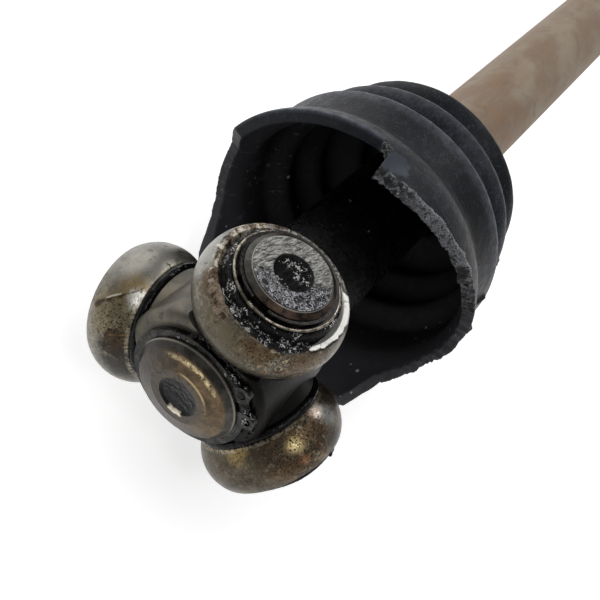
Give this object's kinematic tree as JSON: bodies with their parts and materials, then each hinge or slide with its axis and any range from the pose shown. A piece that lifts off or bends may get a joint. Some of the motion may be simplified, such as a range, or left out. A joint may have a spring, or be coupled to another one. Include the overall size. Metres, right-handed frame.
{
  "type": "cv joint",
  "caption": "Inner tripod constant-velocity joint on its half-shaft, housing removed: spider, needle-bearing barrel rollers, ring-retained hub and a torn rubber bellows boot.",
  "frame": {"origin": "joint centre, where the three trunnion axes meet the shaft axis", "axes": "+X along the shaft axis towards the wheel end, +Z along the first trunnion, so that trunnions 2 and 3 point down to +Y and -Y at 120 degrees"},
  "size_m": [0.3608, 0.0809, 0.0836],
  "materials": {
    "shaft_steel": "dull, oxidised",
    "hub_steel": "oily forged and turned steel",
    "roller_steel": "worn ground steel with oil stains",
    "needle_steel": "ground, greasy",
    "washer_steel": "satin, greasy",
    "spring_steel": "dark oiled spring steel",
    "boot_rubber": "satin, dusty",
    "clamp_band": "dull stainless band"
  },
  "bodies": {
    "half_shaft": {"axle_shaft": "shaft_steel", "spider": "hub_steel", "front_circlip": "spring_steel", "rear_stop_ring": "spring_steel", "stub_stop_ring": "spring_steel", "boot": "boot_rubber", "boot_clamp": "clamp_band", "inner_washer_1": "washer_steel", "outer_washer_1": "washer_steel", "snap_ring_1": "spring_steel", "inner_washer_2": "washer_steel", "outer_washer_2": "washer_steel", "snap_ring_2": "spring_steel", "inner_washer_3": "washer_steel", "outer_washer_3": "washer_steel", "snap_ring_3": "spring_steel"},
    "roller_1": {"roller_1": "roller_steel"},
    "needles_1": {"needle_set_1": "needle_steel"},
    "roller_2": {"roller_2": "roller_steel"},
    "needles_2": {"needle_set_2": "needle_steel"},
    "roller_3": {"roller_3": "roller_steel"},
    "needles_3": {"needle_set_3": "needle_steel"}
  },
  "joints": [
    {"name": "roller_spin_1", "type": "hinge", "parent": "half_shaft", "child": "roller_1", "pos_m": [0, 0, 0], "axis": [0, 0, 1], "continuous": true},
    {"name": "needle_orbit_1", "type": "hinge", "parent": "half_shaft", "child": "needles_1", "pos_m": [0, 0, 0], "axis": [0, 0, 1], "continuous": true},
    {"name": "roller_spin_2", "type": "hinge", "parent": "half_shaft", "child": "roller_2", "pos_m": [0, 0, 0], "axis": [0, 0.866, -0.5], "continuous": true},
    {"name": "needle_orbit_2", "type": "hinge", "parent": "half_shaft", "child": "needles_2", "pos_m": [0, 0, 0], "axis": [0, 0.866, -0.5], "continuous": true},
    {"name": "roller_spin_3", "type": "hinge", "parent": "half_shaft", "child": "roller_3", "pos_m": [0, 0, 0], "axis": [0, -0.866, -0.5], "continuous": true},
    {"name": "needle_orbit_3", "type": "hinge", "parent": "half_shaft", "child": "needles_3", "pos_m": [0, 0, 0], "axis": [0, -0.866, -0.5], "continuous": true}
  ],
  "couplings": [
    {"joint": "needle_orbit_1", "follows": "roller_spin_1", "ratio": 0.5554},
    {"joint": "needle_orbit_2", "follows": "roller_spin_2", "ratio": 0.5554},
    {"joint": "needle_orbit_3", "follows": "roller_spin_3", "ratio": 0.5554}
  ]
}
